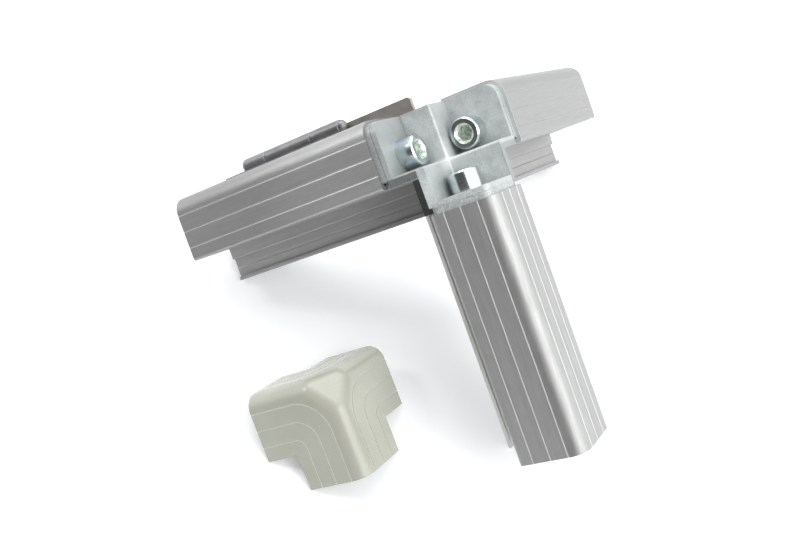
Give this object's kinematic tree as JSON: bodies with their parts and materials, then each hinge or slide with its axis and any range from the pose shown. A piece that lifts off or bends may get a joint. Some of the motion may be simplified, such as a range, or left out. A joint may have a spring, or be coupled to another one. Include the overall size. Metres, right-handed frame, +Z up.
{
  "type": "three way corner connector",
  "caption": "Cast corner piece joining grooved aluminium profile stubs at right angles with socket screws, with a hinge on one profile and a rounded cap set beside it.",
  "frame": {"origin": "centre of the bounding box in X and Y, on the floor plane that the arm ends and the cap stand on", "axes": "+Z up, away from the floor; -X along the left arm as seen from above; +Y to the back, away from the front arm"},
  "size_m": [0.1874, 0.213, 0.099],
  "materials": {
    "profile": "satin anodised aluminium extrusion with fine grooves",
    "casting": null,
    "screw": "bright zinc plated steel",
    "hinge_barrel": "satin grey steel",
    "hinge_leaf": "satin warm grey steel",
    "cap": "finely grained beige-grey plastic"
  },
  "bodies": {
    "corner": {"corner_connector": "casting", "left_profile": "profile", "right_profile": "profile", "front_profile": "profile", "left_screw": "screw", "right_screw": "screw", "front_screw": "screw", "corner_cap": "cap", "hinge_fixed_leaf": "hinge_barrel", "hinge_pin": "hinge_barrel", "hinge_screw_left": "screw", "hinge_screw_right": "screw"},
    "leaf": {"hinge_moving_leaf": "hinge_leaf"}
  },
  "joints": [
    {"name": "leaf_hinge", "type": "hinge", "parent": "corner", "child": "leaf", "pos_m": [-0.04425, 0.02317, 0.05951], "axis": [0.8165, 0, 0.5774], "range_deg": [0, 180]}
  ]
}
